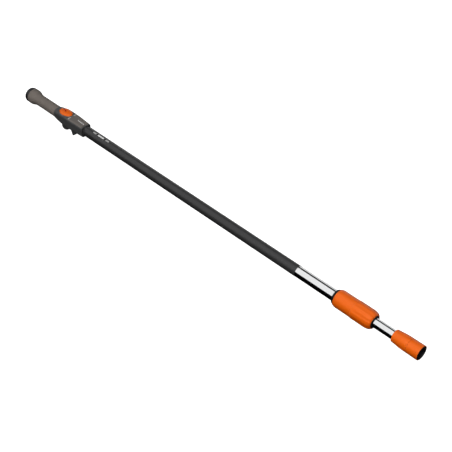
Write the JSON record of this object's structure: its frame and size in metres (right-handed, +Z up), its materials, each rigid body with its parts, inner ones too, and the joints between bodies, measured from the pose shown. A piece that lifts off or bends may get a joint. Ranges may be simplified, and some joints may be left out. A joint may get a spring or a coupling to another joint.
{
  "type": "telescopic tool pole",
  "caption": "Telescopic tool pole with a soft grip, trigger handle, thumb lock button, twist-lock collar and a quick coupling for a drywall sanding head.",
  "frame": {"origin": "middle of the tool socket's mouth, on the pole's axis", "axes": "+X along the pole from the butt to the tool end and out of the socket, +Z up on the thumb button's side"},
  "size_m": [1.491, 0.0498, 0.0699],
  "materials": {
    "charcoal_plastic": "moulded, fine grain",
    "taupe_plastic": "moulded, fine grain",
    "grip_rubber": "soft matt overmould",
    "black_rubber": "matt",
    "black_plastic": "moulded",
    "pale_plastic": "satin",
    "orange_plastic": "satin moulded",
    "black_skin": "satin shrink film",
    "bare_aluminium": "polished, clear anodised",
    "white_nylon": "natural nylon",
    "black_nylon": "natural nylon",
    "zinc_steel": "zinc plated",
    "spring_steel": "drawn wire",
    "brass": "turned"
  },
  "bodies": {
    "handle": {"left_shell": "charcoal_plastic", "right_shell": "charcoal_plastic", "shell_screws": "zinc_steel", "top_panel": "taupe_plastic", "button_bezel": "pale_plastic", "button_spring": "spring_steel", "switch_body": "black_plastic", "trigger_pin": "zinc_steel", "trigger_spring": "spring_steel", "grip_sleeve": "grip_rubber", "butt_cap": "black_plastic", "butt_screw": "zinc_steel", "outer_tube": "bare_aluminium", "tube_skin": "black_skin", "tube_plug": "black_nylon", "tube_pin": "zinc_steel", "collar_rear_ring": "black_rubber", "collar_body": "orange_plastic", "collar_screws": "zinc_steel", "guide_bush": "white_nylon", "collet": "black_nylon"},
    "lock_button": {"lock_button": "orange_plastic"},
    "trigger": {"trigger": "charcoal_plastic"},
    "switch_plunger": {"switch_plunger": "white_nylon"},
    "clamp_nut": {"clamp_nut": "orange_plastic", "wiper_ring": "black_rubber"},
    "tail_bush": {"tail_bush": "white_nylon"},
    "inner_pole": {"inner_tube": "bare_aluminium", "tail_clip": "spring_steel", "coupling_body": "orange_plastic", "tube_screws": "zinc_steel", "insert_screws": "zinc_steel", "socket_insert": "black_plastic", "contact_pins": "brass", "lock_balls": "zinc_steel", "sleeve_spring": "spring_steel"},
    "locking_sleeve": {"locking_sleeve": "orange_plastic"}
  },
  "joints": [
    {"name": "lock_button_press", "type": "slide", "parent": "handle", "child": "lock_button", "axis": [0, 0, -1], "range_m": [0, 0.003], "stiffness_N_per_m": 1500, "springref_m": -0.002, "deforming": ["button_spring"]},
    {"name": "trigger_squeeze", "type": "hinge", "parent": "handle", "child": "trigger", "pos_m": [-1.282, 0, -0.026], "axis": [0, 1, 0], "range_deg": [0, 8], "stiffness_Nm_per_rad": 1.6, "springref_deg": -5.73, "deforming": ["trigger_spring"]},
    {"name": "switch_plunger_slide", "type": "slide", "parent": "handle", "child": "switch_plunger", "axis": [0, 0, 1], "range_m": [0, 0.0046]},
    {"name": "clamp_nut_turn", "type": "hinge", "parent": "handle", "child": "clamp_nut", "pos_m": [-0.167, 0, 0], "axis": [1, 0, 0], "range_deg": [0, 90]},
    {"name": "pole_extend", "type": "slide", "parent": "handle", "child": "tail_bush", "axis": [1, 0, 0], "range_m": [-0.053, 0.875]},
    {"name": "inner_pole_turn", "type": "hinge", "parent": "tail_bush", "child": "inner_pole", "pos_m": [-0.109, 0, 0], "axis": [1, 0, 0], "range_deg": [-180, 180]},
    {"name": "locking_sleeve_turn", "type": "hinge", "parent": "inner_pole", "child": "locking_sleeve", "pos_m": [-0.021, 0, 0], "axis": [1, 0, 0], "range_deg": [0, 30], "stiffness_Nm_per_rad": 0.5, "springref_deg": -17.19}
  ],
  "couplings": [
    {"joint": "switch_plunger_slide", "follows": "trigger_squeeze", "m_per_rad": 0.032}
  ]
}
